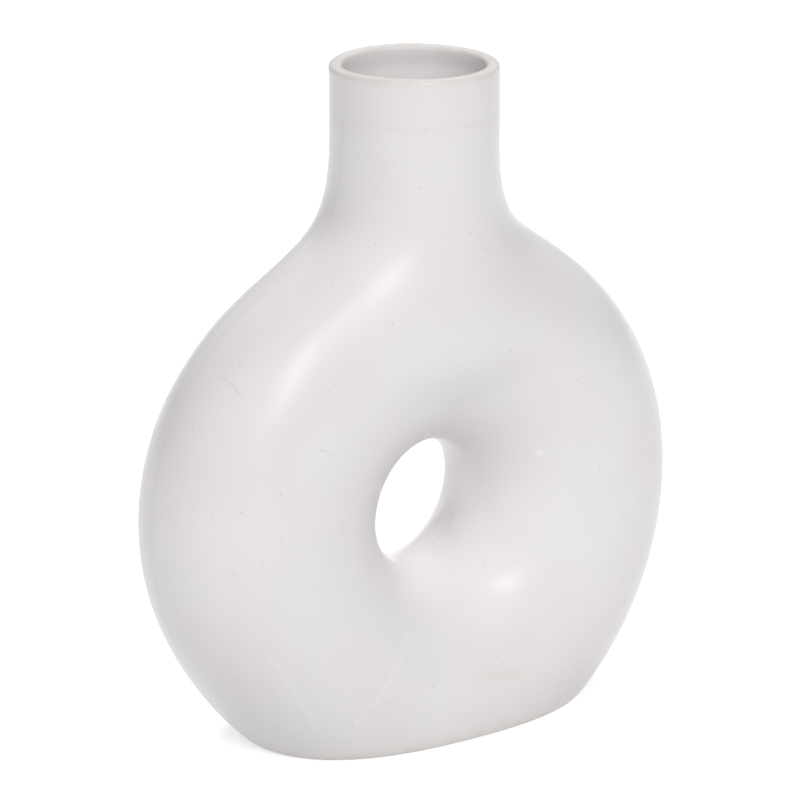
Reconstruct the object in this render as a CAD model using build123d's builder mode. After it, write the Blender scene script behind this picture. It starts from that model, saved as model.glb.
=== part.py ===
"""Donut vase in glazed ceramic: an upright hollow ring on a flat foot, with a straight neck on top.

The vase is formed in two half shells that meet edge to edge on the mid-plane of the ring. A collar with
the rounded lip closes the neck at the top, and a slab set between the halves closes the foot.
Millimetres, +Z up, front towards -Y, origin on the floor under the middle of the ring.
"""

import math
import os

from build123d import *

# Ring; its crest is the line where it stands furthest forward, and it thins evenly from foot to top
ring_outer_radius = 122.5
crest_radius = 76.0
eye_radius = 26.5
ring_foot_thickness = 94.0
ring_top_thickness = 81.5

# Angles round the ring, from foot to top, at which the tube's section is set
section_angles = (-90, -60, -30, 0, 30, 60, 90)

# Foot; the cut depth is what the flat foot takes off the bottom of the ring
foot_cut_depth = 30.0
foot_round = 2.5
base_thickness = 6.0
base_recess = 1.5

# Neck; its rise is from the top of the ring to the lip
neck_rise = 65.0
neck_radius = 34.6
shoulder_fillet = 36.0
collar_height = 20.0

# Wall of ring and neck
wall = 4.5

# Rounding of the lip as a share of its wall
lip_round_share = 0.47

# Places that follow from the sizes
ring_centre_height = ring_outer_radius - foot_cut_depth
lip_height = ring_centre_height + ring_outer_radius + neck_rise
collar_seat_height = lip_height - collar_height
tube_middle_height = ring_centre_height + crest_radius
base_top_height = base_recess + base_thickness

ring_centre = (0, 0, ring_centre_height)
ring_plane = Plane(origin=ring_centre, x_dir=(1, 0, 0), z_dir=(0, -1, 0))
mid_plane = Plane.XZ
side_plane = Plane.YZ
foot_plane = Plane.XY
collar_seat_plane = Plane.XY.offset(collar_seat_height)


def tube_plane(angle):
    """Plane across the tube at an angle round the ring, with the ring's radius along X and its depth along Y."""
    turn = math.radians(angle)
    outwards = (math.cos(turn), 0, math.sin(turn))
    along = (-math.sin(turn), 0, math.cos(turn))
    return Plane(origin=ring_centre, x_dir=outwards, z_dir=along)


def tube_half_depth(angle):
    """Half the ring's thickness at its crest, which follows the height there."""
    middle = (ring_foot_thickness + ring_top_thickness) / 4
    swing = (ring_foot_thickness - ring_top_thickness) / 4
    return middle - swing * math.sin(math.radians(angle))


def vessel_form(inset):
    """Ring and neck as one rounded form, with its whole surface moved inwards by the inset."""
    crest = (crest_radius, 0)
    outer_run = ring_outer_radius - crest_radius - inset
    eye_run = crest_radius - eye_radius - inset
    half_turn = section_angles[-1] - section_angles[0]
    with BuildPart() as ring:
        for angle in section_angles:
            half_depth = tube_half_depth(angle) - inset
            with BuildSketch(tube_plane(angle)):
                with BuildLine():
                    EllipticalCenterArc(crest, outer_run, half_depth, start_angle=0, arc_size=90)
                    EllipticalCenterArc(crest, eye_run, half_depth, start_angle=90, arc_size=90)
                    mirror(about=Plane.XZ)
                make_face()
        with BuildLine(ring_plane) as crest_line:
            CenterArc((0, 0), crest_radius, start_angle=section_angles[0], arc_size=half_turn)
        sweep(path=crest_line.line, multisection=True)
        mirror(about=side_plane)
    with BuildPart() as neck:
        with BuildSketch(Plane.XZ):
            with Locations((0, tube_middle_height)):
                Rectangle(neck_radius - inset, lip_height - tube_middle_height, align=Align.MIN)
        revolve(axis=Axis.Z)
    with BuildPart() as form:
        add(ring.part)
        add(neck.part)
        shoulder = new_edges(ring.part, neck.part, combined=form.part)
        fillet(shoulder, radius=shoulder_fillet + inset)
    return form.part


os.makedirs("parts", exist_ok=True)

outer_form = vessel_form(0)
cavity_form = vessel_form(wall)

# Wall of the whole vessel: flat foot with a rounded edge, hollow, open below and at the collar's seat
with BuildPart() as vessel_wall:
    add(outer_form)
    split(bisect_by=foot_plane, keep=Keep.TOP)
    fillet(vessel_wall.edges().group_by(Axis.Z)[0], radius=foot_round)
    add(cavity_form, mode=Mode.SUBTRACT)
    split(bisect_by=collar_seat_plane, keep=Keep.BOTTOM)

# Front half of ring and neck
with BuildPart() as front_half_shell:
    add(vessel_wall.part)
    split(bisect_by=mid_plane, keep=Keep.TOP)
front_half_shell.part.label = "front_half_shell"
export_step(front_half_shell.part, "parts/front_half_shell.step")

# Back half, the mirror image, met edge to edge
with BuildPart() as back_half_shell:
    mirror(front_half_shell.part, about=mid_plane)
back_half_shell.part.label = "back_half_shell"
export_step(back_half_shell.part, "parts/back_half_shell.step")

# Collar on the neck, with the mouth and the rounded lip
with BuildPart() as neck_collar:
    with BuildSketch(collar_seat_plane):
        Circle(neck_radius)
        Circle(neck_radius - wall, mode=Mode.SUBTRACT)
    extrude(amount=collar_height)
    fillet(neck_collar.edges().group_by(Axis.Z)[-1], radius=wall * lip_round_share)
neck_collar.part.label = "neck_collar"
export_step(neck_collar.part, "parts/neck_collar.step")

# Slab that fills the foot between the half shells, set back from the foot rim
with BuildPart() as base_slab:
    add(cavity_form)
    split(bisect_by=foot_plane.offset(base_recess), keep=Keep.TOP)
    split(bisect_by=foot_plane.offset(base_top_height), keep=Keep.BOTTOM)
base_slab.part.label = "base_slab"
export_step(base_slab.part, "parts/base_slab.step")
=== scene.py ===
"""Donut vase in white satin glaze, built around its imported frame.

The vase is one rounded form: an upright ring with a neck blended into it. The two half shells follow it
outside and inside, and the collar and the foot slab are fitted to it. It is a little uneven, as a vase is
that was pressed in moulds and finished by hand. Metres, +Z up, front towards -Y.
"""

import math

import bpy
import numpy as np
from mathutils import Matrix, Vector


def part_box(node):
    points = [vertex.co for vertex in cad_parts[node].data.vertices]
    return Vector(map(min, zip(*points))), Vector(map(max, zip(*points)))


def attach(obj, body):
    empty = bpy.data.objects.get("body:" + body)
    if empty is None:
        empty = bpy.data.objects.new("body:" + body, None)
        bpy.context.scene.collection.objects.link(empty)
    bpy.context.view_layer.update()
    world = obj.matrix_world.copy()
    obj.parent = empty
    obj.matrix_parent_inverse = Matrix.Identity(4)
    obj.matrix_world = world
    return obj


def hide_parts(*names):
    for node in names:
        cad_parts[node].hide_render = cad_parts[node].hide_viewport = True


bl_info = {
    "name": "Donut Vase",
    "version": (1, 0, 0),
    "blender": (4, 5, 0),
    "location": "View3D > Sidebar > Vase",
    "description": "Builds a white glazed donut vase around its packed frame",
    "category": "Object",
}

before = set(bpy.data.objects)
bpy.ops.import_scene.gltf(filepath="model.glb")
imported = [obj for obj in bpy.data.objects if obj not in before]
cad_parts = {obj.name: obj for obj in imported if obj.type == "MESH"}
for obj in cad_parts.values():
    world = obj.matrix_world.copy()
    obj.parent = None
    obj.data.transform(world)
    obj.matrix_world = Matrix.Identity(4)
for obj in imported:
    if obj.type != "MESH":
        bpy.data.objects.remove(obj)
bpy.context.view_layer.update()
SHELL_LOW, SHELL_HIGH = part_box("front_half_shell")
COLLAR_LOW, COLLAR_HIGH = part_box("neck_collar")
SLAB_LOW, SLAB_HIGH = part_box("base_slab")

MM = 0.001

# Room for ripples and seam in the depth of the ring
DEPTH_ROOM = 0.6 * MM

# Photograph's width in pixels, and the camera sensor's in millimetres
IMAGE_PIXELS = 800
SENSOR_WIDTH = 36.0

# Step of the slope's probe, and how often a point moves to the skin
PROBE = 0.02 * MM
SETTLE_STEPS = 12
TINY = 1e-9

# Mesh of the half shells: half angles of the windows for neck and foot, and numbers of spans
NECK_WINDOW = math.radians(38)
FOOT_WINDOW = math.radians(52)
NECK_SPANS = 64
FOOT_SPANS = 88
SIDE_SPANS = 76
TUBE_SPANS = 80
NECK_WINDOW_ROW = 43
FOOT_WINDOW_ROW = 46
SEAM_CROWDING_SHARE = 0.75
SHOULDER_SPANS = 22
NECK_WALL_SPANS = 26
FLANK_SPANS = 18
FOOT_EDGE_SPANS = 7
FOOT_AIM_SHARE = 0.5

# Which way a half shell's closing faces look: eye, right and left seam, seat and foot
EDGE_LOOKS = ((0, 1, 0), (0, 1, 0), (0, 1, 0), (0, 0, 1), (0, 0, -1))

# Mesh of the collar and the foot slab
COLLAR_SIDES = 192
COLLAR_WALL_CUTS = 22
LIP_STEPS = 8
SLAB_SIDES = 240
SLAB_EDGE_SPANS = 4
SLAB_FACE_RINGS = 12
SHARP_ANGLE = math.radians(45)

# Points of the collar's section: the lip's two corners are numbers 1 and 2
LIP_CORNERS = 1.5
LIP_CORNERS_REACH = 0.75
SAME_INDEX = 0.5

# Mix node's sockets: the share, the two colours and their mixture
MIX_SOCKETS = (0, 6, 7)
MIX_RESULT = 2

# Names of the two finishes, apart from the plain ones that come with the frame
GLAZE_NAME = "satin_glaze"
CLAY_NAME = "fired_clay"

# Marks in the glaze: fade at a line's ends and towards the seam, drift, and how strongly each kind shows
LINE_FADE_SHARE = 0.25
FRONT_FADE = 8 * MM
MARK_DRIFT = 3 * MM
SMEAR_SHARE = 0.22
# The coat's edge is painted in the lighter thick colour: thick glaze, and painted highlight where its ridge
# catches light
COAT_EDGE_AND_HIGHLIGHT_SHARE = 0.4
# The drop is painted in the thick colour at full share: thick glaze, and painted highlight on its bump
DROP_AND_HIGHLIGHT_SHARE = 1.0
MARK_SHARE = 0.16
DUST_SHARE = 0.5

# Glaze: waves per metre and levels of detail of its noise, cells per metre, and how much of each shows
DRIFT_NOISE = (60, 2)
CLOUD_NOISE = (17, 3)
BREAK_NOISE = (130, 3)
EDGE_NOISE = (160, 2)
GLOSS_NOISE = (45, 2)
RELIEF_NOISE = (240, 2)
SPECK_CELLS = 150
DUST_CELLS = 420
CLOUD_SHARES = (0.35, 0.65)
MIDDLE_SHARES = (0.3, 0.7)
NOISE_MIDDLE = (0.5, 0.5, 0.5)
UNBROKEN_SHARE = 0.35
SPECK_RIM_SHARES = (0.03, 0.055)
SPECK_SHARE = 0.5
DUST_RIM_SHARES = (0.06, 0.13)
EDGE_WANDER = 1.2 * MM
BARE_HEIGHTS = (1.2 * MM, 1.5 * MM)
BARE_ROUGHNESS = 0.5
RELIEF_SHARE = 0.12
RELIEF_DEPTH = 0.15 * MM

# Bare clay and floor
GRAIN_NOISE = (900, 4)
PATCH_NOISE = (40, 3)
GRAIN_SHARES = (0.35, 0.7)
PATCH_SHARE = 0.2
GRAIN_SHARE = 0.4
GRAIN_DEPTH = 0.1 * MM
CLAY_ROUGHNESS = (0.8, 0.95)
FLOOR_ROUGHNESS = 0.9

# Thin glaze and unevenness: how strongly each shows, and where the lip's bead and crest lie
SEAM_WAVE_SHARE = 0.4
SEAM_THIN_SHARE = 0.3
JOINT_THIN_SHARE = 0.25
COLLAR_THIN_SHARE = 0.5
CREST_THIN_SHARE = 0.6
CREST_SHARE = 0.12
SWELL_WAVE_SHARE = 0.4
DIP_WAVE_SHARE = 0.5
BEAD_START_SHARE = 0.5
BEAD_RUN_SHARE = 0.4
FOOT_CALM = 5

RIPPLE_SEED = 7
RIPPLE_WAVES = 7
RIPPLE_WAVE_SHARES = (0.7, 1.5)


def share(name, description, default, **settings):
    """A number that a user may change."""
    settings = {"precision": 4, **settings}
    return bpy.props.FloatProperty(name=name, description=description, default=default, **settings)


def length(name, description, metres):
    """A size that a user may change."""
    return share(name, description, metres, unit="LENGTH", precision=5)


def angle(name, description, degrees):
    """An angle that a user may change."""
    return share(name, description, math.radians(degrees), unit="ROTATION")


def power(name, description, watts):
    """A lamp's power that a user may change."""
    return share(name, description, watts, unit="POWER")


def several(name, description, default, **settings):
    """Numbers that belong together and that a user may change."""
    settings = {"size": len(default), **settings}
    return bpy.props.FloatVectorProperty(name=name, description=description, default=default, **settings)


def spot(name, description, across, up):
    """A place on the front, across and up in millimetres."""
    return several(name, description, (across * MM, up * MM), unit="LENGTH", precision=5)


def colour(name, description, default):
    """A colour between black and white."""
    return several(name, description, default, subtype="COLOR", min=0, max=1)


class VaseForm(bpy.types.PropertyGroup):
    """Sizes of the vase's even form."""

    ring_radius: length("Ring radius", "From the ring's centre to its outside", SHELL_HIGH.x)
    ring_centre: length("Ring centre height", "From the floor to the ring's centre", 92.5 * MM)
    foot_depth: length("Depth at the foot", "Front to back at the low crest", -2 * SHELL_LOW.y - DEPTH_ROOM)
    top_depth: length("Depth at the top", "Front to back at the high crest", 81.5 * MM)
    crest_radius: length("Crest radius", "Where the ring stands furthest forward", 76.3 * MM)
    eye_radius: length("Eye radius", "The round hole through the ring", 26.5 * MM)
    shoulder_reach: length("Shoulder reach", "How far ring and neck flow into each other", 45 * MM)
    neck_root: length("Neck root", "Neck's round end, above the ring's centre", 85 * MM)
    neck_radius: length("Neck radius", "Outside of neck and lip", COLLAR_HIGH.x)
    seat_height: length("Seat height", "Where the collar sits on the half shells", SHELL_HIGH.z)
    lip_height: length("Lip height", "Top of the vase", COLLAR_HIGH.z)
    lip_round_share: share("Lip rounding", "Rounding of the lip as a share of its wall", 0.47)
    wall: length("Wall", "Thickness of ring and neck", 4.5 * MM)
    foot_round: length("Foot rounding", "Reach of the rounding between flank and foot", 2.7 * MM)
    foot_rim: length("Foot rim", "How far inside the flank the foot is flat", 2.3 * MM)
    slab_bottom: length("Slab bottom", "Underside of the foot slab", SLAB_LOW.z)
    slab_top: length("Slab top", "Inside of the foot slab", SLAB_HIGH.z)
    slab_gap: length("Slab gap", "Room between the slab and the half shells", 0.02 * MM)


class HandShape(bpy.types.PropertyGroup):
    """How far the vase departs from its even form."""

    ring_shift: length("Ring shift", "Ring's outline to the right", 1.03 * MM)
    eye_shift: length("Eye shift", "Eye to the right", 1.85 * MM)
    eye_rise: length("Eye rise", "Eye above the ring's centre", 1.77 * MM)
    eye_width_share: share("Eye width", "Eye's width as a share of its height", 0.933)
    neck_shift: length("Neck shift", "Neck to the right at its foot", 2.97 * MM)
    neck_foot: length("Neck foot height", "Where the neck's shift is measured", 200 * MM)
    neck_lean: angle("Neck lean", "Neck's lean to the right", 0.39)
    oval: length("Oval", "Ring stretched upwards", 1.05 * MM)
    oval_slant: length("Slanted oval", "Ring stretched to the upper right", -1.07 * MM)
    three_lobes: length("Three lobes", "Three-sided outline with a corner at the top", -1.72 * MM)
    three_lobes_side: length("Turned three lobes", "The same with a corner at the upper right", 0.95 * MM)
    four_lobes: length("Four lobes", "Square outline with corners at top and sides", 0.34 * MM)
    ripple: length("Ripple", "Height of waves left by hand finishing", 0.1 * MM)
    ripple_wave: length("Ripple wave", "Length of those waves", 55 * MM)
    seam_height: length("Seam height", "Ridge left on the mould seam", 0.1 * MM)
    seam_width: length("Seam width", "Half width of that ridge", 0.9 * MM)
    joint_depth: length("Joint depth", "Line where the collar was joined on", 0.1 * MM)
    joint_width: length("Joint width", "Half width of that line", 0.8 * MM)
    lip_swell: length("Lip swell", "How far the lip leaves its circle", 0.25 * MM)
    lip_swell_turn: angle("Lip swell direction", "Where the lip swells, from right to back", 150)
    lip_bead: length("Lip bead", "How far the lip thickens into the mouth", 1.0 * MM)
    lip_dip: length("Lip dip", "How far the lip dips below its highest place", 0.6 * MM)
    lip_dip_turn: angle("Lip dip direction", "Twice the direction of the highest place", 114)


class GlazeLook(bpy.types.PropertyGroup):
    """Colours and gloss of glaze and clay."""

    white: colour("White glaze", "Glaze where it lies thick", (0.837, 0.814, 0.814))
    cloud: colour("Cloudy glaze", "Glaze where it is a little thinner", (0.82, 0.79, 0.786))
    thin: colour("Thin glaze", "Clay showing through on edges", (0.72, 0.68, 0.64))
    # Lighter than the white; on the coat's edge and the drop it is thick glaze and also painted highlight
    thick: colour("Thick glaze", "Rolls and drops of glaze", (0.9, 0.88, 0.88))
    speck: colour("Speck", "Iron specks and pinholes", (0.3, 0.27, 0.25))
    clay: colour("Bare clay", "Unglazed foot", (0.78, 0.74, 0.69))
    clay_shade: colour("Clay shade", "Darker grains of the bare clay", (0.68, 0.63, 0.57))
    gloss_low: share("Least roughness", "Roughness where the glaze is glossiest", 0.285)
    gloss_high: share("Most roughness", "Roughness where the glaze is dullest", 0.315)
    # The coat's edge below is painted lighter: thick glaze, and painted highlight along its ridge
    coat_tip: spot("Coat tip", "Lowest place of the edge of the second coat", -62.5, 9.5)
    coat_right: spot("Coat right end", "Right end of that edge", -17.2, 59.8)
    coat_left: spot("Coat left end", "Left end of that edge", -94, 63.5)
    coat_width: length("Coat edge width", "Half width of that edge", 1.2 * MM)
    smear_start: spot("Smear start", "Left end of a thin place low on the front", 4.5, 28.9)
    smear_end: spot("Smear end", "Right end of that place", 31.1, 23.5)
    smear_width: length("Smear width", "Half width of that place", 4.5 * MM)
    scratch_start: spot("Scratch start", "Upper end of a mark on the left shoulder", -95.5, 168.5)
    scratch_end: spot("Scratch end", "Lower end of that mark", -92, 160.5)
    nick_start: spot("Nick start", "Left end of a mark beside the eye", -69.5, 140.5)
    nick_end: spot("Nick end", "Right end of that mark", -61, 136.4)
    mark_width: length("Mark width", "Half width of scratch and nick", 0.6 * MM)
    # The drop below is painted lighter: thick glaze, and painted highlight on its bump
    drop_start: spot("Drop start", "One end of a drop of glaze right of the eye", 41, 117.5)
    drop_end: spot("Drop end", "Other end of that drop", 44, 114.7)
    drop_width: length("Drop width", "Half width of that drop", 1.6 * MM)
    dust_start: spot("Dust start", "Upper end of a dusting of fine specks", 56, 53)
    dust_end: spot("Dust end", "Lower end of that dusting", 63, 37)
    dust_width: length("Dust width", "Half width of that dusting", 5 * MM)


class StudioLook(bpy.types.PropertyGroup):
    """Camera and light."""

    camera_azimuth: angle("Camera azimuth", "Round the vase, 0 in front", -32.68)
    camera_elevation: angle("Camera elevation", "Above the horizon", 18.35)
    camera_distance: length("Camera distance", "From the point looked at", 1550.8 * MM)
    camera_focal_pixels: share("Focal length", "In pixels of the photograph", 3758)
    target_across: length("Target across", "Point looked at, along X", -3.56 * MM)
    target_height: length("Target height", "Point looked at, above the floor", 137.6 * MM)
    floor_size: length("Floor size", "Side of the floor", 40.0)
    floor_colour: colour("Floor colour", "Pale floor", (0.74, 0.74, 0.74))
    floor_glow: share("Floor glow", "Lifts the floor to white where it is seen", 0.58)
    sky_colour: colour("Sky colour", "Studio's white", (1, 1, 1))
    sky: share("Sky light", "Light from all round, as a share of white", 0.32)
    key_azimuth: angle("Key azimuth", "Softbox that glints on the glaze, from the camera", 12)
    key_elevation: angle("Key elevation", "That softbox above the horizon", 35)
    key_distance: length("Key distance", "That softbox from the vase", 2.0)
    key_width: length("Key width", "That softbox across", 0.22)
    key_height: length("Key height", "That softbox along its height", 0.85)
    key_power: power("Key power", "That softbox", 6.6)
    front_azimuth: angle("Front azimuth", "Broad front light, from the camera", 8)
    front_elevation: angle("Front elevation", "Broad front light above the horizon", 42)
    front_spread: angle("Front spread", "Width of the broad front light", 60)
    front_strength: share("Front strength", "Broad front light", 1.31)
    back_azimuth: angle("Back azimuth", "Softbox behind the vase, from the camera", 180)
    back_elevation: angle("Back elevation", "Back softbox above the horizon", 45)
    back_distance: length("Back distance", "Back softbox from the vase", 2.2)
    back_width: length("Back width", "Back softbox across and along", 0.8)
    back_power: power("Back power", "Back softbox", 27)


def smooth_step(value):
    """Rises from 0 to 1 with level ends."""
    value = np.clip(value, 0, 1)
    return value * value * (3 - 2 * value)


def outline_bulge(hand, turn):
    """How far the outline stands out at an angle from the top, clockwise from the front."""
    return (
        hand.oval * np.cos(2 * turn)
        + hand.oval_slant * np.sin(2 * turn)
        + hand.three_lobes * np.cos(3 * turn)
        + hand.three_lobes_side * np.sin(3 * turn)
        + hand.four_lobes * np.cos(4 * turn)
    )


def ring_section(form, inset):
    """Middle radius, run and crest shift of the tube's egg-shaped section."""
    middle = (form.ring_radius + form.eye_radius) / 2
    return middle, (form.ring_radius - form.eye_radius) / 2 - inset, form.crest_radius - middle


def ring_half_depth(form, z, inset):
    """Half the ring's depth at a height, thinning evenly from foot to top."""
    middle, swing = (form.foot_depth + form.top_depth) / 4, (form.foot_depth - form.top_depth) / 4
    return middle - swing * (z - form.ring_centre) / form.crest_radius - inset


def ring_skin(form, hand, points, inset):
    """Distance to the ring's skin."""
    x, y, z = np.moveaxis(points, -1, 0)
    across, up = x - hand.ring_shift, z - form.ring_centre
    bulge = outline_bulge(hand, np.arctan2(across, up))
    outline = np.hypot(across, up) / (1 + bulge / form.ring_radius)
    eye = np.hypot((x - hand.eye_shift) / hand.eye_width_share, up - hand.eye_rise)
    outer = smooth_step((outline - form.eye_radius) / (form.ring_radius - form.eye_radius))
    radius = eye * (1 - outer) + outline * outer
    middle, run, crest = ring_section(form, inset)
    half_depth = ring_half_depth(form, z, inset)
    v = y / half_depth
    u = (radius - middle - crest * v * v) / run
    level = np.maximum(np.hypot(u, v), TINY)
    slope_out = u / (run * level)
    slope_deep = (v - 2 * u * v * crest / run) / (half_depth * level)
    return (level - 1) / np.maximum(np.hypot(slope_out, slope_deep), TINY)


def neck_axis(hand, z):
    """The neck's axis at a height, along X."""
    return hand.neck_shift + (z - hand.neck_foot) * math.tan(hand.neck_lean)


def neck_skin(form, hand, points, inset):
    """Distance to the neck's skin, which starts with a round end inside the tube."""
    x, y, z = np.moveaxis(points, -1, 0)
    below = np.maximum(form.ring_centre + form.neck_root - z, 0)
    from_axis = np.sqrt((x - neck_axis(hand, z)) ** 2 + y**2 + below**2)
    return from_axis - form.neck_radius + inset


def vessel_skin(form, hand, points, inset):
    """Distance to ring and neck, which flow into each other at the shoulder."""
    ring = ring_skin(form, hand, points, inset)
    neck = neck_skin(form, hand, points, inset)
    eye_top = form.ring_centre + form.eye_radius
    above_eye = smooth_step((points[..., 2] - eye_top) / (form.crest_radius - form.eye_radius))
    reach = form.shoulder_reach * above_eye + TINY
    near = np.maximum(1 - np.abs(ring - neck) / reach, 0)
    return np.minimum(ring, neck) - near**3 * reach / 6


def footed_skin(form, hand, points):
    """Distance to the outside with its flat foot and rounded edge."""
    flank = vessel_skin(form, hand, points, 0)
    below = -points[..., 2]
    near = np.maximum(1 - np.abs(flank - below) / form.foot_round, 0)
    return np.maximum(flank, below) + near**3 * form.foot_round / 6


def slope_of(distance, points):
    """Slope of a distance at each point, by central differences."""
    steps = np.eye(3) * PROBE
    return np.stack([distance(points + step) - distance(points - step) for step in steps], -1) / (2 * PROBE)


def settle(distance, points, plane=None):
    """Moves points onto the skin, each within its plane where normals of planes are given."""
    for _ in range(SETTLE_STEPS):
        slope = slope_of(distance, points)
        if plane is not None:
            slope = slope - plane * np.sum(slope * plane, -1, keepdims=True)
        square = np.maximum(np.sum(slope * slope, -1, keepdims=True), TINY)
        points = points - distance(points)[..., None] * slope / square
    return points


def unit(vectors):
    """Vectors at length 1."""
    return vectors / np.maximum(np.linalg.norm(vectors, axis=-1, keepdims=True), TINY)


def spokes(distance, start, corner, end, toward, spans):
    """Lines over the skin from each point of a window's rim past a corner to an edge."""
    run_in = np.linspace(0, 1, spans[0] + 1)[1:, None, None]
    run_out = np.linspace(0, 1, spans[1] + 1)[1:, None, None]
    lines = np.concatenate([start + (corner - start) * run_in, corner + (end - corner) * run_out])
    plane = unit(np.cross(corner - start, toward))
    lines[:-1] = settle(distance, lines[:-1], plane)
    lines[-1] = end
    return lines


def foot_edge(distance, start, inside):
    """Where the skin, moved inwards by a depth, meets the floor between each start and the middle."""
    centre = start * np.array([FOOT_AIM_SHARE, 0, 0])
    reach = (start - centre) * np.array([1, 1, 0])
    along = np.ones(len(start))
    for _ in range(2 * SETTLE_STEPS):
        point = centre + reach * along[:, None]
        slope = np.sum(slope_of(distance, point) * reach, -1)
        along = along - (distance(point) + inside) / slope
    return centre + reach * along[:, None], -reach


def grid_quads(rows):
    """Four-sided faces between neighbours in rows of indices."""
    return np.stack([rows[:-1, :-1], rows[:-1, 1:], rows[1:, 1:], rows[1:, :-1]], -1).reshape(-1, 4)


class HalfSkin:
    """Front half of the vessel's skin: points, four-sided faces and loops along its edges."""

    def __init__(self, form, hand, inset):
        self.form, self.hand, self.inset = form, hand, inset
        self.columns = 2 * SIDE_SPANS + NECK_SPANS + FOOT_SPANS
        self.foot_right, self.foot_left = SIDE_SPANS, SIDE_SPANS + FOOT_SPANS
        self.neck_left = self.foot_left + SIDE_SPANS
        self.points, self.faces = self.ring_part()
        self.neck_lines = self.add_lines(self.rim(0, self.neck_left, NECK_WINDOW_ROW), self.neck_part)
        foot_rim = self.rim(self.foot_right, self.foot_left, FOOT_WINDOW_ROW)
        self.foot_lines = self.add_lines(foot_rim, self.foot_part)
        eye = np.append(self.index[:, -1], self.index[0, -1])
        right = self.index[1 : self.foot_right, 0]
        right = np.concatenate([self.neck_lines[::-1, 0], right, self.foot_lines[:, 0]])
        left = self.index[self.neck_left - 1 : self.foot_left : -1, 0]
        left = np.concatenate([self.neck_lines[::-1, -1], left, self.foot_lines[:, -1]])
        self.edges = eye, right, left, self.neck_lines[-1], self.foot_lines[-1]

    def distance(self, points):
        """Distance to this skin without its foot."""
        return vessel_skin(self.form, self.hand, points, self.inset)

    def ring_part(self):
        """The ring as a grid round its centre and its tube, without the windows for neck and foot."""
        stops = [NECK_WINDOW, math.pi - FOOT_WINDOW, math.pi + FOOT_WINDOW, 2 * math.pi - NECK_WINDOW]
        stops.append(2 * math.pi + NECK_WINDOW)
        spans = [SIDE_SPANS, FOOT_SPANS, SIDE_SPANS, NECK_SPANS]
        pieces = [np.linspace(a, b, n, endpoint=False) for a, b, n in zip(stops, stops[1:], spans)]
        turn = np.concatenate(pieces)[:, None]
        row = np.linspace(0, 1, TUBE_SPANS + 1)
        tube = math.pi * row - SEAM_CROWDING_SHARE * np.sin(2 * math.pi * row) / 2
        middle, run, crest = ring_section(self.form, self.inset)
        radius = middle + run * np.cos(tube) + crest * np.sin(tube) ** 2
        across = self.hand.ring_shift + radius * np.sin(turn)
        up = self.form.ring_centre + radius * np.cos(turn)
        grid = np.stack([across, -ring_half_depth(self.form, up, self.inset) * np.sin(tube), up], -1)
        column, rows = np.arange(self.columns)[:, None], np.arange(TUBE_SPANS + 1)
        inside_neck = (column > self.neck_left) & (rows < NECK_WINDOW_ROW)
        inside_foot = (column > self.foot_right) & (column < self.foot_left) & (rows < FOOT_WINDOW_ROW)
        kept = ~(inside_neck | inside_foot)
        self.index = np.where(kept, np.cumsum(kept).reshape(kept.shape) - 1, -1)
        quads = grid_quads(np.concatenate([self.index, self.index[:1]]))
        quads = quads[np.all(quads >= 0, axis=1)]
        return settle(self.distance, grid[kept]), [self.outward(quads, grid[kept])]

    def rim(self, right, left, row):
        """A window's rim, from the right seam round the front to the left seam."""
        if right:
            across = np.arange(right, left + 1)
        else:
            across = np.append(0, np.arange(self.columns - 1, left - 1, -1))
        return np.concatenate(
            [self.index[right, :row], self.index[across, row], self.index[left, :row][::-1]]
        )

    def neck_part(self, start):
        """Lines from the window's rim over the shoulder and up the neck to the seat."""
        form, hand = self.form, self.hand
        foot_of_neck = form.ring_centre + form.ring_radius
        offset = start - np.array([neck_axis(hand, foot_of_neck), 0, 0])
        corner = unit(offset * np.array([1, 1, 0])) * (form.neck_radius - self.inset)
        end = corner.copy()
        middle, run, crest = ring_section(form, self.inset)
        deep = corner[:, 1] / ring_half_depth(form, foot_of_neck, self.inset)
        outline = middle + run * np.sqrt(1 - deep**2) + crest * deep**2
        corner[:, 2] = form.ring_centre + np.sqrt(outline**2 - corner[:, 0] ** 2)
        corner[:, 0] += neck_axis(hand, foot_of_neck)
        end[:, 0] += neck_axis(hand, form.seat_height)
        end[:, 2] = form.seat_height
        upwards = np.array([0, 0, 1.0])
        return spokes(self.distance, start, corner, end, upwards, (SHOULDER_SPANS, NECK_WALL_SPANS))

    def foot_part(self, start):
        """Lines from the window's rim down the flank to the floor, outside also round the foot's edge."""
        corner, toward = foot_edge(self.distance, start, 0)
        if self.inset:
            return spokes(self.distance, start, corner, corner, toward, (FLANK_SPANS + FOOT_EDGE_SPANS, 0))
        end, _ = foot_edge(self.distance, start, self.form.foot_rim)

        def footed(points):
            return footed_skin(self.form, self.hand, points)

        return spokes(footed, start, corner, end, toward, (FLANK_SPANS, FOOT_EDGE_SPANS))

    def add_lines(self, rim, part):
        """Joins a part's lines on, and gives their indices in rows that begin with the rim."""
        lines = part(self.points[rim])
        rows = np.arange(lines.shape[0] * lines.shape[1]).reshape(lines.shape[:2]) + len(self.points)
        rows = np.concatenate([rim[None], rows])
        self.points = np.concatenate([self.points, lines.reshape(-1, 3)])
        self.faces.append(self.outward(grid_quads(rows), self.points))
        return rows

    def outward(self, quads, points):
        """Faces turned to look out of the clay: away from the skin outside, into the hollow inside."""
        centre = points[quads].mean(axis=1)
        away = slope_of(self.distance, centre) * (-1 if self.inset else 1)
        return turned(points, quads, away)


def face_normals(points, quads):
    """Normals of four-sided faces from their diagonals, as long as twice their area."""
    corner = points[quads]
    return np.cross(corner[:, 2] - corner[:, 0], corner[:, 3] - corner[:, 1])


def turned(points, quads, away):
    """Faces with their corners in the order that looks a given way."""
    wrong = np.sum(face_normals(points, quads) * away) < 0
    return quads[:, ::-1] if wrong else quads


def strip(points, first, second, away):
    """Faces between two loops of the same number of points."""
    return turned(points, grid_quads(np.stack([first, second])), np.array(away))


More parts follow.
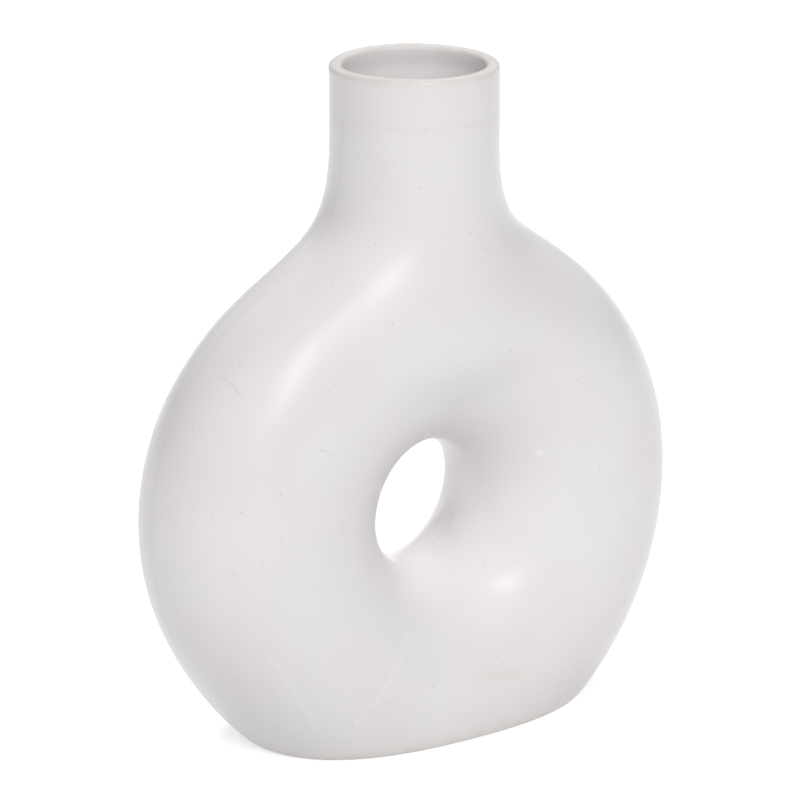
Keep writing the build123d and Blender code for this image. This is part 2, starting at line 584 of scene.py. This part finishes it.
def skin_normals(points, quads):
    """Smooth normals of a skin, level across the seam."""
    normals = np.zeros_like(points)
    flat = face_normals(points, quads)
    for corner in range(4):
        np.add.at(normals, quads[:, corner], flat)
    normals[np.abs(points[:, 1]) < TINY, 1] = 0
    return unit(normals)


def ripple_height(hand, points):
    """Soft waves over the whole outside, the same on every piece."""
    chance = np.random.default_rng(RIPPLE_SEED)
    height = np.zeros(points.shape[:-1])
    for _ in range(RIPPLE_WAVES):
        direction = unit(chance.normal(size=3))
        wave = hand.ripple_wave * chance.uniform(*RIPPLE_WAVE_SHARES)
        height += np.sin(points @ direction * 2 * math.pi / wave + chance.uniform(0, 2 * math.pi))
    return hand.ripple * height / math.sqrt(RIPPLE_WAVES)


def outside_detail(form, hand, points):
    """Height of ripples, mould seam and joint line above the even skin."""
    seam = hand.seam_height * np.exp(-((points[..., 1] / hand.seam_width) ** 2))
    wave = np.sin(points[..., 2] * 2 * math.pi / hand.ripple_wave)
    seam = seam * (1 - SEAM_WAVE_SHARE + SEAM_WAVE_SHARE * wave)
    joint = hand.joint_depth * np.exp(-(((points[..., 2] - form.seat_height) / hand.joint_width) ** 2))
    lift = smooth_step(points[..., 2] / (FOOT_CALM * form.foot_round))
    return (ripple_height(hand, points) + seam) * lift - joint


def thin_glaze(form, hand, points):
    """Share of clay that shows through on seam, joint and foot edge."""
    seam = SEAM_THIN_SHARE * np.exp(-((points[..., 1] / (2 * hand.seam_width)) ** 2))
    from_joint = (points[..., 2] - form.seat_height) / (2 * hand.joint_width)
    joint = JOINT_THIN_SHARE * np.exp(-(from_joint**2))
    foot = np.exp(-points[..., 2] / form.foot_round)
    return np.clip(seam + joint + foot, 0, 1)


def half_shell_mesh(form, hand):
    """Front half shell: outside and inside, closed along seam, eye, seat and foot."""
    outer, inner = HalfSkin(form, hand, 0), HalfSkin(form, hand, form.wall)
    outer_faces, inner_faces = np.concatenate(outer.faces), np.concatenate(inner.faces)
    away = skin_normals(outer.points, outer_faces)
    outer.points = outer.points + away * outside_detail(form, hand, outer.points)[:, None]
    outer.points[outer.foot_lines[-1], 2] = 0
    outer.points[outer.neck_lines[-1], 2] = form.seat_height
    count = len(outer.points)
    points = np.concatenate([outer.points, inner.points])
    normals = np.concatenate(
        [skin_normals(outer.points, outer_faces), skin_normals(inner.points, inner_faces)]
    )
    edges = zip(outer.edges, inner.edges, EDGE_LOOKS)
    closing = np.concatenate([strip(points, first, second + count, look) for first, second, look in edges])
    skins = np.concatenate([outer_faces, inner_faces + count])
    flat = np.repeat(unit(face_normals(points, closing)), 4, axis=0)
    corners = np.concatenate([normals[skins].reshape(-1, 3), flat])
    thin = np.concatenate([thin_glaze(form, hand, outer.points), np.zeros(len(inner.points))])
    return points, np.concatenate([skins, closing]), corners, thin


def make_mesh(name, points, faces, corners, thin):
    """A mesh with normals at its corners and the share of thin glaze at its points."""
    mesh = bpy.data.meshes.new(name)
    mesh.from_pydata(points.tolist(), [], faces.tolist())
    mesh.polygons.foreach_set("use_smooth", np.ones(len(faces), bool))
    mesh.normals_split_custom_set(corners.tolist())
    mesh.attributes.new("thin_glaze", "FLOAT", "POINT").data.foreach_set("value", thin.astype(np.float32))
    mesh.validate()
    return mesh


def add_piece(context, mesh, material, node):
    """Puts a piece in the scene in place of its CAD node."""
    piece = bpy.data.objects.new(node.replace("_", " ").title().replace(" ", "_"), mesh)
    mesh.materials.append(material)
    context.scene.collection.objects.link(piece)
    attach(piece, "root")
    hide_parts(node)


def add_node(tree, kind, inputs=None, **settings):
    """A node with its settings made and its inputs linked or set."""
    node = tree.nodes.new(kind)
    for name, value in settings.items():
        setattr(node, name, value)
    for name, value in (inputs or {}).items():
        if isinstance(value, bpy.types.NodeSocket):
            tree.links.new(value, node.inputs[name])
        else:
            node.inputs[name].default_value = value
    return node


def maths(tree, operation, *values):
    """Result of a sum on up to three values."""
    return add_node(tree, "ShaderNodeMath", dict(enumerate(values)), operation=operation).outputs[0]


SOCKET_KINDS = {
    float: "NodeSocketFloat",
    int: "NodeSocketInt",
    bpy.types.Material: "NodeSocketMaterial",
}


def collar_tree(values):
    """Nodes that draw the collar's section and sweep it round the mouth."""
    tree = bpy.data.node_groups.new("neck_collar", "GeometryNodeTree")
    for name, value in values.items():
        tree.interface.new_socket(name, in_out="INPUT", socket_type=SOCKET_KINDS[type(value)])
    tree.interface.new_socket("Collar", in_out="OUTPUT", socket_type="NodeSocketGeometry")
    given = tree.nodes.new("NodeGroupInput").outputs
    down = maths(tree, "MULTIPLY", given["Height"], -1)
    wall = maths(tree, "SUBTRACT", given["Neck Radius"], given["Mouth Radius"])
    corners = {
        "Point 1": {},
        "Point 2": {"Y": down},
        "Point 3": {"X": wall, "Y": down},
        "Point 4": {"X": wall},
    }
    points = {name: add_node(tree, "ShaderNodeCombineXYZ", at).outputs[0] for name, at in corners.items()}
    section = add_node(tree, "GeometryNodeCurvePrimitiveQuadrilateral", points, mode="POINTS").outputs[0]
    index = tree.nodes.new("GeometryNodeInputIndex").outputs[0]
    on_lip = maths(tree, "COMPARE", index, LIP_CORNERS, LIP_CORNERS_REACH)
    rounding = {
        "Curve": section,
        "Count": maths(tree, "MULTIPLY", on_lip, given["Lip Steps"]),
        "Radius": maths(tree, "MULTIPLY", on_lip, given["Lip Rounding"]),
    }
    rounded = add_node(tree, "GeometryNodeFilletCurve", rounding, mode="POLY").outputs[0]
    outer_wall = maths(tree, "MULTIPLY_ADD", given["Lip Steps"], 2, 2)
    on_inner = maths(tree, "COMPARE", index, 0, SAME_INDEX)
    on_outer = maths(tree, "COMPARE", index, outer_wall, SAME_INDEX)
    on_walls = maths(tree, "ADD", on_inner, on_outer)
    cuts = {"Curve": rounded, "Cuts": maths(tree, "MULTIPLY", on_walls, given["Wall Cuts"])}
    divided = add_node(tree, "GeometryNodeSubdivideCurve", cuts).outputs[0]
    circle = {"Resolution": given["Sides"], "Radius": given["Mouth Radius"]}
    mouth = add_node(tree, "GeometryNodeCurvePrimitiveCircle", circle, mode="RADIUS").outputs[0]
    swept = add_node(tree, "GeometryNodeCurveToMesh", {"Curve": mouth, "Profile Curve": divided}).outputs[0]
    whole = add_node(tree, "GeometryNodeRealizeInstances", {"Geometry": swept}).outputs[0]
    coat = {"Geometry": whole, "Material": given["Glaze"]}
    glazed = add_node(tree, "GeometryNodeSetMaterial", coat).outputs[0]
    add_node(tree, "NodeGroupOutput", {"Collar": glazed})
    return tree


def collar_mesh(context, form, glaze):
    """Even collar about the Z axis, on the floor, as a plain mesh."""
    values = {
        "Mouth Radius": form.neck_radius - form.wall,
        "Neck Radius": form.neck_radius,
        "Height": form.lip_height - form.seat_height,
        "Lip Rounding": form.wall * form.lip_round_share,
        "Lip Steps": LIP_STEPS,
        "Wall Cuts": COLLAR_WALL_CUTS,
        "Sides": COLLAR_SIDES,
        "Glaze": glaze,
    }
    tree = collar_tree(values)
    holder = bpy.data.objects.new("collar_holder", bpy.data.meshes.new("collar_holder"))
    context.scene.collection.objects.link(holder)
    modifier = holder.modifiers.new("Collar", "NODES")
    modifier.node_group = tree
    for socket in tree.interface.items_tree:
        if socket.in_out == "INPUT":
            modifier[socket.identifier] = values[socket.name]
    context.view_layer.update()
    mesh = bpy.data.meshes.new_from_object(holder.evaluated_get(context.evaluated_depsgraph_get()))
    bpy.data.objects.remove(holder)
    return mesh


def finish_collar(form, hand, mesh):
    """Sets the collar on the leaning neck, with ripples, an uneven lip and thin glaze."""
    points = np.empty(len(mesh.vertices) * 3, np.float32)
    mesh.vertices.foreach_get("co", points)
    points = points.reshape(-1, 3).astype(float)
    height = form.lip_height - form.seat_height
    up = points[:, 2] / height
    radius = np.hypot(points[:, 0], points[:, 1])
    turn = np.arctan2(points[:, 1], points[:, 0])
    outside = smooth_step((radius - form.neck_radius + form.wall) / form.wall)
    away = unit(points * np.array([1, 1, 0]))
    points[:, 2] += form.seat_height
    points[:, 0] += neck_axis(hand, points[:, 2])
    near_lip = smooth_step(2 * up - 1)
    swell = np.cos(turn - hand.lip_swell_turn) + SWELL_WAVE_SHARE * np.cos(3 * turn)
    swell = hand.lip_swell * swell * near_lip
    bead = hand.lip_bead * smooth_step((up - BEAD_START_SHARE) / BEAD_RUN_SHARE) * (1 - outside)
    points += away * ((outside_detail(form, hand, points) * outside + swell - bead)[:, None])
    dip = 1 - np.cos(2 * turn - hand.lip_dip_turn) + DIP_WAVE_SHARE * (1 + np.sin(3 * turn))
    points[:, 2] -= hand.lip_dip * dip / 3 * near_lip
    crest = CREST_THIN_SHARE * np.exp(-(((1 - up) / CREST_SHARE) ** 2))
    thin = np.clip(COLLAR_THIN_SHARE * thin_glaze(form, hand, points) * outside + crest, 0, 1)
    mesh.vertices.foreach_set("co", points.astype(np.float32).ravel())
    mesh.attributes.new("thin_glaze", "FLOAT", "POINT").data.foreach_set("value", thin.astype(np.float32))
    mesh.shade_smooth()
    mesh.set_sharp_from_angle(angle=SHARP_ANGLE)
    mesh.update()
    return mesh


def slab_loop(form, hand, height):
    """Outline of the hollow at a height, a hair smaller."""
    turn = np.linspace(0, 2 * math.pi, SLAB_SIDES, endpoint=False)
    direction = np.stack([np.cos(turn), np.sin(turn), np.zeros(SLAB_SIDES)], -1)
    near, far = np.zeros(SLAB_SIDES), np.full(SLAB_SIDES, form.ring_radius)
    base = np.array([hand.ring_shift, 0, height])
    for _ in range(3 * SETTLE_STEPS):
        reach = (near + far) / 2
        outside = vessel_skin(form, hand, base + direction * reach[:, None], form.wall + form.slab_gap) > 0
        near, far = np.where(outside, near, reach), np.where(outside, reach, far)
    return base + direction * near[:, None]


def slab_mesh(form, hand):
    """Foot slab between the half shells: two faces of rings, and the edge between them."""
    levels = np.linspace(form.slab_bottom, form.slab_top, SLAB_EDGE_SPANS + 1)
    loops = [slab_loop(form, hand, level) for level in levels]
    middle = np.array([hand.ring_shift, 0, 0])
    shares = np.linspace(1, 0, SLAB_FACE_RINGS, endpoint=False)[1:]

    def face_rings(loop):
        """Rings towards a face's middle, uneven as rolled clay is."""
        rings = [middle + (loop - middle) * np.array([kept, kept, 1]) for kept in shares]
        for ring in rings:
            ring[:, 2] += np.minimum(ripple_height(hand, ring), 0)
        return rings

    loops = face_rings(loops[0])[::-1] + loops + face_rings(loops[-1])
    points = np.concatenate(loops)
    rows = np.arange(len(points)).reshape(len(loops), SLAB_SIDES)
    quads = grid_quads(np.column_stack([rows, rows[:, 0]]))
    faces = quads.tolist() + [rows[0][::-1].tolist(), rows[-1].tolist()]
    mesh = bpy.data.meshes.new("base_slab")
    mesh.from_pydata(points.tolist(), [], faces)
    mesh.shade_smooth()
    mesh.set_sharp_from_angle(angle=SHARP_ANGLE)
    return mesh


def mixed(tree, amount, first, second):
    """Colour between two others."""
    node = add_node(tree, "ShaderNodeMix", data_type="RGBA", clamp_factor=True)
    for socket, value in zip(MIX_SOCKETS, (amount, first, second)):
        if isinstance(value, bpy.types.NodeSocket):
            tree.links.new(value, node.inputs[socket])
        else:
            node.inputs[socket].default_value = (*value, 1)
    return node.outputs[MIX_RESULT]


def ranged(tree, value, low, high, new_low, new_high):
    """Value carried from one range to another, with level ends."""
    inputs = {"Value": value, "From Min": low, "From Max": high, "To Min": new_low, "To Max": new_high}
    return add_node(tree, "ShaderNodeMapRange", inputs, interpolation_type="SMOOTHSTEP").outputs["Result"]


def new_material(name):
    """A material with its tree, shader and the object's own coordinates."""
    material = bpy.data.materials.new(name)
    material.use_nodes = True
    tree = material.node_tree
    shader = tree.nodes["Principled BSDF"]
    where = tree.nodes.new("ShaderNodeTexCoord").outputs["Object"]
    return material, tree, shader, where


def noise(tree, where, scale, detail, output="Fac"):
    """Soft noise between 0 and 1, with its scale in waves per metre."""
    inputs = {"Vector": where, "Scale": scale, "Detail": detail}
    return add_node(tree, "ShaderNodeTexNoise", inputs).outputs[output]


def to_grain(tree, where, scale):
    """Distance to the nearest of scattered grains, with its scale in cells per metre."""
    cells = {"Vector": where, "Scale": scale, "Randomness": 1.0}
    return add_node(tree, "ShaderNodeTexVoronoi", cells, feature="F1").outputs["Distance"]


def add_relief(tree, shader, height, strength, depth):
    """Fine relief of a skin."""
    inputs = {"Height": height, "Strength": strength, "Distance": depth}
    relief = add_node(tree, "ShaderNodeBump", inputs).outputs["Normal"]
    tree.links.new(relief, shader.inputs["Normal"])


def front_line(tree, place, start, end, half_width):
    """Share of a soft straight line on the front that fades at its ends."""
    run = Vector(end) - Vector(start)
    reach = run.length
    toward = run / reach

    def measured(along_across, along_up):
        """How far a point lies in a direction from the line's start."""
        fixed = -start[0] * along_across - start[1] * along_up
        part = maths(tree, "MULTIPLY_ADD", place["X"], along_across, fixed)
        return maths(tree, "MULTIPLY_ADD", place["Z"], along_up, part)

    along = measured(toward[0], toward[1])
    aside = maths(tree, "ABSOLUTE", measured(-toward[1], toward[0]))
    line = ranged(tree, aside, 0, half_width, 1, 0)
    begun = ranged(tree, along, 0, LINE_FADE_SHARE * reach, 0, 1)
    ended = ranged(tree, along, (1 - LINE_FADE_SHARE) * reach, reach, 1, 0)
    in_front = ranged(tree, place["Y"], -FRONT_FADE, 0, 1, 0)
    for limit in (in_front, begun, ended):
        line = maths(tree, "MULTIPLY", line, limit)
    return line


def glaze_marks(tree, look, where, body):
    """The body's colour with the edge of a second coat, a smear, a drop, a scratch, a nick and dust. Coat
    edge and drop are painted lighter: thick glaze, and painted highlight where they catch light.
    """
    wobble = noise(tree, where, *DRIFT_NOISE, "Color")
    centred = {0: wobble, 1: NOISE_MIDDLE}
    wobble = add_node(tree, "ShaderNodeVectorMath", centred, operation="SUBTRACT").outputs[0]
    moved = {0: wobble, 1: (MARK_DRIFT, 0, MARK_DRIFT), 2: where}
    moved = add_node(tree, "ShaderNodeVectorMath", moved, operation="MULTIPLY_ADD").outputs[0]
    place = add_node(tree, "ShaderNodeSeparateXYZ", {"Vector": moved}).outputs
    grains = ranged(tree, to_grain(tree, where, DUST_CELLS), *DUST_RIM_SHARES, DUST_SHARE, 0)
    marks = (
        (look.smear_start, look.smear_end, look.smear_width, SMEAR_SHARE, look.thin),
        # Coat's edge: thick glaze colour that is also painted highlight along its ridge
        (look.coat_tip, look.coat_right, look.coat_width, COAT_EDGE_AND_HIGHLIGHT_SHARE, look.thick),
        (look.coat_tip, look.coat_left, look.coat_width, COAT_EDGE_AND_HIGHLIGHT_SHARE, look.thick),
        # Drop: thick glaze colour that is also painted highlight on its bump
        (look.drop_start, look.drop_end, look.drop_width, DROP_AND_HIGHLIGHT_SHARE, look.thick),
        (look.scratch_start, look.scratch_end, look.mark_width, MARK_SHARE, look.speck),
        (look.nick_start, look.nick_end, look.mark_width, MARK_SHARE, look.speck),
        (look.dust_start, look.dust_end, look.dust_width, grains, look.speck),
    )
    for start, end, half_width, strength, tint in marks:
        line = front_line(tree, place, start, end, half_width)
        body = mixed(tree, maths(tree, "MULTIPLY", line, strength), body, tint)
    return body


def glaze_material(look):
    """White satin glaze, a little cloudy, thin on edges, with marks and specks, bare under the foot."""
    material, tree, shader, where = new_material(GLAZE_NAME)
    clouds = ranged(tree, noise(tree, where, *CLOUD_NOISE), *CLOUD_SHARES, 0, 1)
    body = mixed(tree, clouds, look.white, look.cloud)
    thin = add_node(tree, "ShaderNodeAttribute", attribute_name="thin_glaze").outputs["Fac"]
    broken = ranged(tree, noise(tree, where, *BREAK_NOISE), *MIDDLE_SHARES, UNBROKEN_SHARE, 1)
    body = mixed(tree, maths(tree, "MULTIPLY", thin, broken), body, look.thin)
    body = glaze_marks(tree, look, where, body)
    specks = ranged(tree, to_grain(tree, where, SPECK_CELLS), *SPECK_RIM_SHARES, SPECK_SHARE, 0)
    body = mixed(tree, specks, body, look.speck)
    up = add_node(tree, "ShaderNodeSeparateXYZ", {"Vector": where}).outputs["Z"]
    edge = maths(tree, "MULTIPLY_ADD", noise(tree, where, *EDGE_NOISE), EDGE_WANDER, up)
    bare = ranged(tree, edge, *BARE_HEIGHTS, 1, 0)
    tree.links.new(mixed(tree, bare, body, look.clay), shader.inputs["Base Color"])
    gloss = noise(tree, where, *GLOSS_NOISE)
    satin = ranged(tree, gloss, *MIDDLE_SHARES, look.gloss_low, look.gloss_high)
    rough = maths(tree, "MULTIPLY_ADD", bare, BARE_ROUGHNESS, satin)
    tree.links.new(rough, shader.inputs["Roughness"])
    add_relief(tree, shader, noise(tree, where, *RELIEF_NOISE), RELIEF_SHARE, RELIEF_DEPTH)
    return material


def clay_material(look):
    """Bare fired clay with fine grain."""
    material, tree, shader, where = new_material(CLAY_NAME)
    grain = ranged(tree, noise(tree, where, *GRAIN_NOISE), *GRAIN_SHARES, 0, 1)
    patches = ranged(tree, noise(tree, where, *PATCH_NOISE), *MIDDLE_SHARES, PATCH_SHARE, 1)
    body = mixed(tree, maths(tree, "MULTIPLY", grain, patches), look.clay, look.clay_shade)
    tree.links.new(body, shader.inputs["Base Color"])
    tree.links.new(ranged(tree, grain, 0, 1, *CLAY_ROUGHNESS), shader.inputs["Roughness"])
    add_relief(tree, shader, grain, GRAIN_SHARE, GRAIN_DEPTH)
    return material


def shared_glaze(look):
    """The one glaze that shells and collar share."""
    return bpy.data.materials.get(GLAZE_NAME) or glaze_material(look)


def floor_material(studio):
    """Pale floor that looks white where nothing shades it."""
    material, tree, shader, _ = new_material("floor")
    shader.inputs["Base Color"].default_value = (*studio.floor_colour, 1)
    shader.inputs["Roughness"].default_value = FLOOR_ROUGHNESS
    shader.inputs["Specular IOR Level"].default_value = 0
    shader.inputs["Emission Color"].default_value = (1, 1, 1, 1)
    path = tree.nodes.new("ShaderNodeLightPath").outputs
    mirrored = maths(tree, "MAXIMUM", path["Is Glossy Ray"], path["Is Transmission Ray"])
    seen = maths(tree, "MAXIMUM", path["Is Camera Ray"], mirrored)
    glow = maths(tree, "MULTIPLY", seen, studio.floor_glow)
    tree.links.new(glow, shader.inputs["Emission Strength"])
    return material


def studio_world(studio):
    """Even soft light from all round."""
    world = bpy.data.worlds.new("studio")
    world.use_nodes = True
    background = world.node_tree.nodes["Background"]
    background.inputs["Color"].default_value = (*studio.sky_colour, 1)
    background.inputs["Strength"].default_value = studio.sky
    return world


def turned_place(azimuth, elevation, distance):
    """A place round the vase, by angle from the front and above the horizon."""
    level = math.cos(elevation)
    return Vector((math.sin(azimuth) * level, -math.cos(azimuth) * level, math.sin(elevation))) * distance


def aimed(thing, place, target):
    """Puts a lamp or camera at a place, looking at a target."""
    thing.location = place
    thing.rotation_mode = "QUATERNION"
    thing.rotation_quaternion = (target - place).to_track_quat("-Z", "Y")
    return thing


def add_lamp(context, name, kind, settings, place, target, glints=False):
    """A lamp that looks at the vase and may glint on the glaze."""
    lamp = bpy.data.lights.new(name, kind)
    for setting, value in settings.items():
        setattr(lamp, setting, value)
    holder = aimed(bpy.data.objects.new(name, lamp), place, target)
    holder.visible_glossy = glints
    context.scene.collection.objects.link(holder)


def softbox(width, height, watts):
    """Settings of a flat soft lamp."""
    return {"shape": "RECTANGLE", "size": width, "size_y": height, "energy": watts}


class VASE_OT_half_shells(bpy.types.Operator):
    """Build the front and back half shells"""

    bl_idname = "vase.half_shells"
    bl_label = "Half Shells"

    def execute(self, context):
        scene = context.scene
        glaze = shared_glaze(scene.vase_glaze)
        points, faces, corners, thin = half_shell_mesh(scene.vase_form, scene.vase_hand)
        front = make_mesh("front_half_shell", points, faces, corners, thin)
        add_piece(context, front, glaze, "front_half_shell")
        mirror = np.array([1, -1, 1])
        corners = (corners.reshape(-1, 4, 3)[:, ::-1] * mirror).reshape(-1, 3)
        back = make_mesh("back_half_shell", points * mirror, faces[:, ::-1], corners, thin)
        add_piece(context, back, glaze, "back_half_shell")
        return {"FINISHED"}


class VASE_OT_neck_collar(bpy.types.Operator):
    """Build the collar with its rounded lip"""

    bl_idname = "vase.neck_collar"
    bl_label = "Neck Collar"

    def execute(self, context):
        scene = context.scene
        glaze = shared_glaze(scene.vase_glaze)
        mesh = finish_collar(scene.vase_form, scene.vase_hand, collar_mesh(context, scene.vase_form, glaze))
        add_piece(context, mesh, glaze, "neck_collar")
        return {"FINISHED"}


class VASE_OT_base_slab(bpy.types.Operator):
    """Build the slab that closes the foot"""

    bl_idname = "vase.base_slab"
    bl_label = "Base Slab"

    def execute(self, context):
        scene = context.scene
        mesh = slab_mesh(scene.vase_form, scene.vase_hand)
        add_piece(context, mesh, clay_material(scene.vase_glaze), "base_slab")
        return {"FINISHED"}


class VASE_OT_stage(bpy.types.Operator):
    """Set up floor, lights and camera"""

    bl_idname = "vase.stage"
    bl_label = "Stage"

    def execute(self, context):
        scene, studio = context.scene, context.scene.vase_studio
        half = studio.floor_size / 2
        mesh = bpy.data.meshes.new("floor")
        corners = [(-half, -half, 0), (half, -half, 0), (half, half, 0), (-half, half, 0)]
        mesh.from_pydata(corners, [], [(0, 1, 2, 3)])
        mesh.materials.append(floor_material(studio))
        floor = bpy.data.objects.new("floor", mesh)
        scene.collection.objects.link(floor)
        scene.world = studio_world(studio)
        target = Vector((studio.target_across, 0, studio.target_height))

        def seat(azimuth, elevation, distance):
            """A place round the vase, with its azimuth counted from the camera's."""
            return target + turned_place(studio.camera_azimuth + azimuth, elevation, distance)

        key = seat(studio.key_azimuth, studio.key_elevation, studio.key_distance)
        box = softbox(studio.key_width, studio.key_height, studio.key_power)
        add_lamp(context, "key", "AREA", box, key, target, glints=True)
        back = seat(studio.back_azimuth, studio.back_elevation, studio.back_distance)
        box = softbox(studio.back_width, studio.back_width, studio.back_power)
        add_lamp(context, "back", "AREA", box, back, target)
        front = seat(studio.front_azimuth, studio.front_elevation, studio.key_distance)
        broad = {"angle": studio.front_spread, "energy": studio.front_strength}
        add_lamp(context, "front", "SUN", broad, front, target)
        camera = bpy.data.cameras.new("camera")
        camera.sensor_width = SENSOR_WIDTH
        camera.lens = SENSOR_WIDTH * studio.camera_focal_pixels / IMAGE_PIXELS
        eye = seat(0, studio.camera_elevation, studio.camera_distance)
        holder = aimed(bpy.data.objects.new("camera", camera), eye, target)
        scene.collection.objects.link(holder)
        scene.camera = holder
        scene.view_settings.view_transform = "Standard"
        return {"FINISHED"}


class VASE_PT_sidebar(bpy.types.Panel):
    """Buttons and sizes for the vase"""

    bl_idname = "VASE_PT_sidebar"
    bl_label = "Donut Vase"
    bl_space_type = "VIEW_3D"
    bl_region_type = "UI"
    bl_category = "Vase"

    def draw(self, context):
        for operator in OPERATORS:
            self.layout.operator(operator.bl_idname)
        for name in GROUPS:
            settings = getattr(context.scene, name)
            box = self.layout.box()
            for prop in settings.__annotations__:
                box.prop(settings, prop)


GROUPS = {"vase_form": VaseForm, "vase_hand": HandShape, "vase_glaze": GlazeLook, "vase_studio": StudioLook}
OPERATORS = (VASE_OT_half_shells, VASE_OT_neck_collar, VASE_OT_base_slab, VASE_OT_stage)
CLASSES = (*GROUPS.values(), *OPERATORS, VASE_PT_sidebar)


def register():
    """Adds the classes and the settings that they share."""
    for cls in CLASSES:
        bpy.utils.register_class(cls)
    for name, group in GROUPS.items():
        setattr(bpy.types.Scene, name, bpy.props.PointerProperty(type=group))


def unregister():
    """Takes the settings and classes away."""
    for name in GROUPS:
        delattr(bpy.types.Scene, name)
    for cls in reversed(CLASSES):
        bpy.utils.unregister_class(cls)


def main():
    """Builds the vase and its stage."""
    register()
    bpy.ops.vase.half_shells()
    bpy.ops.vase.neck_collar()
    bpy.ops.vase.base_slab()
    bpy.ops.vase.stage()


if __name__ == "__main__":
    main()
